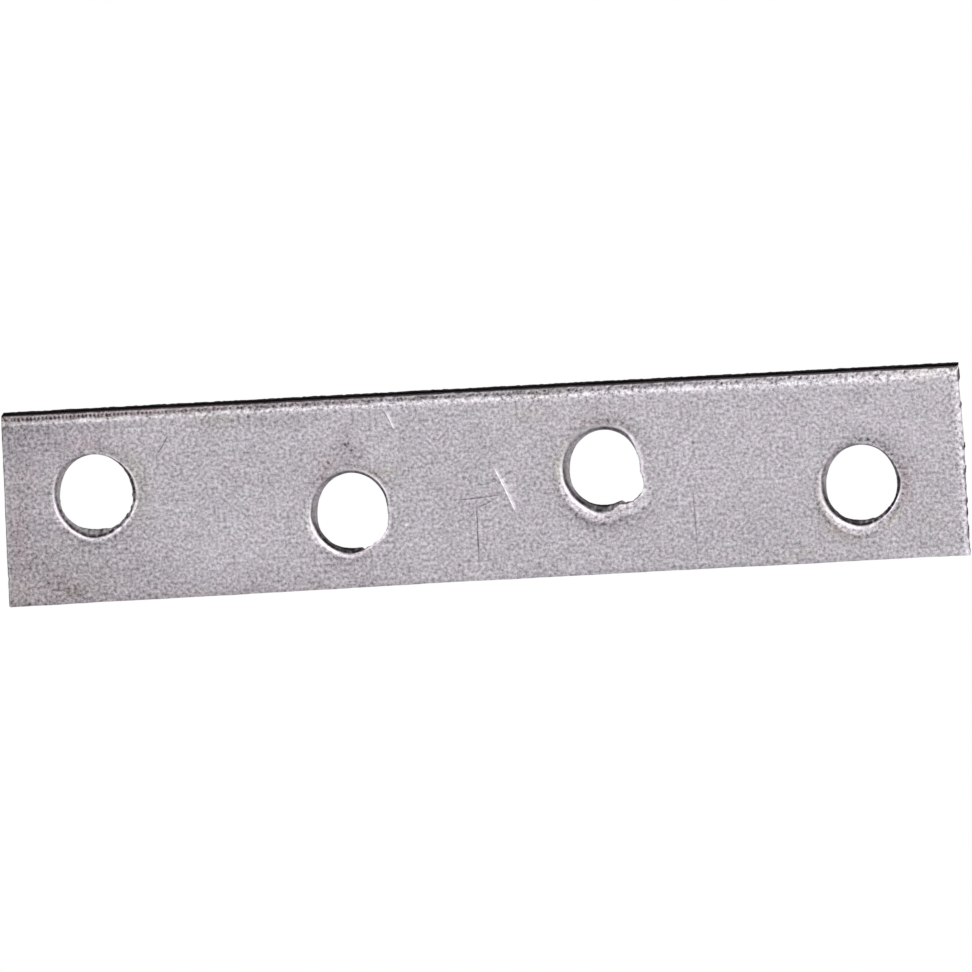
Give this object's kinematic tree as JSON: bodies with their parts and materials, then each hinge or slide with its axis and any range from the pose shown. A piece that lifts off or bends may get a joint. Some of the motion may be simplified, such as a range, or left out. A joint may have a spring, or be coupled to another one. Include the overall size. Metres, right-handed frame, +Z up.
{
  "type": "mending plate",
  "caption": "Flat straight mending plate of zinc plated steel strip, with a staggered row of punched round screw holes, for joining two pieces of timber end to end.",
  "frame": {"origin": "centre of the underside's bounding rectangle, on the surface that the plate lies on", "axes": "+X along the plate; +Y across it, towards the long edge whose upper rim is rolled over; +Z up, from the underside to the punched face"},
  "size_m": [0.064, 0.0126, 0.002],
  "materials": {
    "zinc_plated_steel": "dull bright-zinc plating on sheared steel strip: fine grained, slightly pink grey, with faint yellowish stains, dark sheared edges and light handling scratches"
  },
  "bodies": {
    "root": {"mending_plate": "zinc_plated_steel"}
  },
  "joints": []
}
